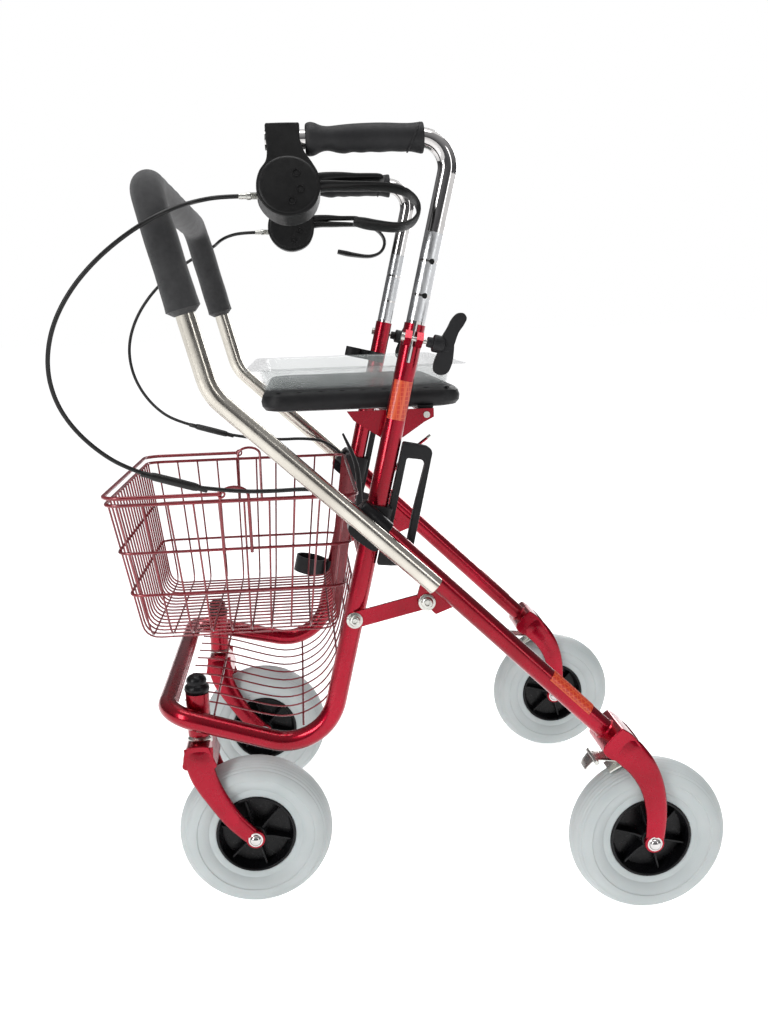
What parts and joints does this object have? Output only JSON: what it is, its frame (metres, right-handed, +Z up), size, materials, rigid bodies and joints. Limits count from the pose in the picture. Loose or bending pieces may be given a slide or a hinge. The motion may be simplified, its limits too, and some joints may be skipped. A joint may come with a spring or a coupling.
{
  "type": "rollator walker",
  "caption": "Folding four-wheeled rollator walker with seat, lift-off tray, wire basket, bow backrest, loop brakes, height-adjustable handles and a cane holder.",
  "frame": {"origin": "on the floor, below the middle of the box that holds the whole walker without its brake cables", "axes": "+X points in the direction of travel, +Y to the user's left, +Z up"},
  "size_m": [0.8011, 0.6804, 0.9795],
  "materials": {
    "red_paint": "candy metallic red",
    "basket_wire": "dark red coated wire",
    "chrome": "polished",
    "nickel_tube": "satin nickel plate",
    "black_plastic": "fine texture",
    "gloss_black": "semi gloss",
    "grip_rubber": "matte moulded",
    "foam": "closed cell foam",
    "tyre_grey": "soft grey",
    "clear_plastic": "clear",
    "seat_plastic": "fine texture",
    "zinc": "zinc plated",
    "brake_steel": "zinc plated",
    "cable_black": "smooth jacket",
    "reflector": "prismatic"
  },
  "bodies": {
    "frame": {"front_frame": "red_paint", "cross_tubes": "red_paint", "seat_brackets": "red_paint", "seat_hinge_rod": "zinc", "stem_sockets": "red_paint", "stem_caps": "gloss_black", "link_bolts": "zinc", "clamp_bolts": "zinc", "frame_reflectors": "reflector", "lower_shelf": "basket_wire", "cane_clip": "black_plastic", "cane_cup": "black_plastic", "left_cable_loop": "cable_black", "left_cable_tail": "cable_black", "right_cable_loop": "cable_black", "right_cable_tail": "cable_black", "cable_sleeves": "cable_black"},
    "seat": {"seat": "seat_plastic"},
    "tray": {"tray": "clear_plastic"},
    "basket": {"basket": "basket_wire"},
    "basket_handle": {"basket_handle": "basket_wire"},
    "lock_lever": {"fold_lock_lever": "black_plastic"},
    "carriage": {"carriages": "black_plastic", "grab_loops": "black_plastic"},
    "rear_frame": {"rear_legs": "red_paint", "leg_plugs": "gloss_black", "bracket_bolts": "zinc", "backrest_tube": "nickel_tube", "backrest_foam": "foam", "leg_clamps": "black_plastic", "rear_forks": "red_paint", "rear_axles": "chrome", "leg_reflectors": "reflector"},
    "links": {"link_bars": "red_paint"},
    "left_handle": {"left_handle_post": "chrome", "left_grip": "grip_rubber", "left_brake_housing": "gloss_black", "left_cable_adjuster": "zinc"},
    "left_lever": {"left_brake_lever": "gloss_black"},
    "left_knob": {"left_wing_knob": "black_plastic"},
    "left_shoe": {"left_brake_shoe": "brake_steel"},
    "left_caster": {"left_front_fork": "red_paint", "left_front_axle": "chrome"},
    "left_front_wheel": {"left_front_tyre": "tyre_grey", "left_front_hub": "gloss_black"},
    "left_rear_wheel": {"left_rear_tyre": "tyre_grey", "left_rear_hub": "gloss_black"},
    "right_handle": {"right_handle_post": "chrome", "right_grip": "grip_rubber", "right_brake_housing": "gloss_black", "right_cable_adjuster": "zinc"},
    "right_lever": {"right_brake_lever": "gloss_black"},
    "right_knob": {"right_wing_knob": "black_plastic"},
    "right_shoe": {"right_brake_shoe": "brake_steel"},
    "right_caster": {"right_front_fork": "red_paint", "right_front_axle": "chrome"},
    "right_front_wheel": {"right_front_tyre": "tyre_grey", "right_front_hub": "gloss_black"},
    "right_rear_wheel": {"right_rear_tyre": "tyre_grey", "right_rear_hub": "gloss_black"}
  },
  "joints": [
    {"name": "carriage_slide", "type": "slide", "parent": "frame", "child": "carriage", "axis": [-0.2368, 0, 0.9715], "range_m": [0, 0.092]},
    {"name": "frame_fold", "type": "hinge", "parent": "carriage", "child": "rear_frame", "pos_m": [0.04854, 0, 0.516], "axis": [0, -1, 0], "range_deg": [0, 40], "deforming": ["left_cable_tail", "right_cable_tail"]},
    {"name": "link_turn", "type": "hinge", "parent": "frame", "child": "links", "pos_m": [0.07804, 0, 0.395], "axis": [0, 1, 0], "range_deg": [0, 57.9]},
    {"name": "seat_flip", "type": "hinge", "parent": "frame", "child": "seat", "pos_m": [-0.022, 0, 0.64], "axis": [0, -1, 0], "range_deg": [0, 85]},
    {"name": "tray_lift", "type": "slide", "parent": "seat", "child": "tray", "axis": [0, 0, 1], "range_m": [0, 0.12]},
    {"name": "basket_lift", "type": "slide", "parent": "frame", "child": "basket", "axis": [0.5, 0, 0.866], "range_m": [0, 0.08]},
    {"name": "basket_handle_swing", "type": "hinge", "parent": "basket", "child": "basket_handle", "pos_m": [0.234, 0, 0.552], "axis": [0, -1, 0], "range_deg": [0, 90]},
    {"name": "fold_lock_turn", "type": "hinge", "parent": "frame", "child": "lock_lever", "pos_m": [0.06024, 0, 0.468], "axis": [0, 1, 0], "range_deg": [-20, 0], "stiffness_Nm_per_rad": 1, "springref_deg": 11.46},
    {"name": "left_post_slide", "type": "slide", "parent": "frame", "child": "left_handle", "axis": [-0.2368, 0, 0.9715], "range_m": [-0.1, 0.04], "deforming": ["left_cable_loop"]},
    {"name": "left_lever_squeeze", "type": "hinge", "parent": "left_handle", "child": "left_lever", "pos_m": [0.112, 0.25054, 0.90494], "axis": [0, 0.9511, 0.309], "range_deg": [0, 15], "stiffness_Nm_per_rad": 2, "springref_deg": -5.73},
    {"name": "left_shoe_turn", "type": "hinge", "parent": "rear_frame", "child": "left_shoe", "pos_m": [-0.214, 0.268, 0.206], "axis": [0, -1, 0], "range_deg": [0, 3.75]},
    {"name": "left_knob_turn", "type": "hinge", "parent": "frame", "child": "left_knob", "pos_m": [-0.0335, 0.25, 0.72589], "axis": [0.9715, 0, 0.2368], "range_deg": [0, 180]},
    {"name": "left_caster_swivel", "type": "hinge", "parent": "frame", "child": "left_caster", "pos_m": [0.282, 0.185, 0.236], "axis": [0, 0, 1], "continuous": true},
    {"name": "left_front_wheel_spin", "type": "hinge", "parent": "left_caster", "child": "left_front_wheel", "pos_m": [0.216, 0.185, 0.1], "axis": [0, 1, 0], "continuous": true},
    {"name": "left_rear_wheel_spin", "type": "hinge", "parent": "rear_frame", "child": "left_rear_wheel", "pos_m": [-0.284, 0.268, 0.1], "axis": [0, 1, 0], "continuous": true},
    {"name": "right_post_slide", "type": "slide", "parent": "frame", "child": "right_handle", "axis": [-0.2368, 0, 0.9715], "range_m": [-0.1, 0.04], "deforming": ["right_cable_loop"]},
    {"name": "right_lever_squeeze", "type": "hinge", "parent": "right_handle", "child": "right_lever", "pos_m": [0.112, -0.232, 0.902], "axis": [0, 1, 0], "range_deg": [0, 15], "stiffness_Nm_per_rad": 2, "springref_deg": -5.73},
    {"name": "right_shoe_turn", "type": "hinge", "parent": "rear_frame", "child": "right_shoe", "pos_m": [-0.214, -0.268, 0.206], "axis": [0, -1, 0], "range_deg": [0, 3.75]},
    {"name": "right_knob_turn", "type": "hinge", "parent": "frame", "child": "right_knob", "pos_m": [-0.0335, -0.25, 0.72589], "axis": [0.9715, 0, 0.2368], "range_deg": [0, 180]},
    {"name": "right_caster_swivel", "type": "hinge", "parent": "frame", "child": "right_caster", "pos_m": [0.282, -0.185, 0.236], "axis": [0, 0, 1], "continuous": true},
    {"name": "right_front_wheel_spin", "type": "hinge", "parent": "right_caster", "child": "right_front_wheel", "pos_m": [0.216, -0.185, 0.1], "axis": [0, 1, 0], "continuous": true},
    {"name": "right_rear_wheel_spin", "type": "hinge", "parent": "rear_frame", "child": "right_rear_wheel", "pos_m": [-0.284, -0.268, 0.1], "axis": [0, 1, 0], "continuous": true}
  ],
  "couplings": [
    {"joint": "carriage_slide", "follows": "frame_fold", "m_per_rad": 0.13178},
    {"joint": "link_turn", "follows": "frame_fold", "ratio": 1.445},
    {"joint": "left_shoe_turn", "follows": "left_lever_squeeze", "ratio": 0.25},
    {"joint": "right_shoe_turn", "follows": "right_lever_squeeze", "ratio": 0.25}
  ]
}
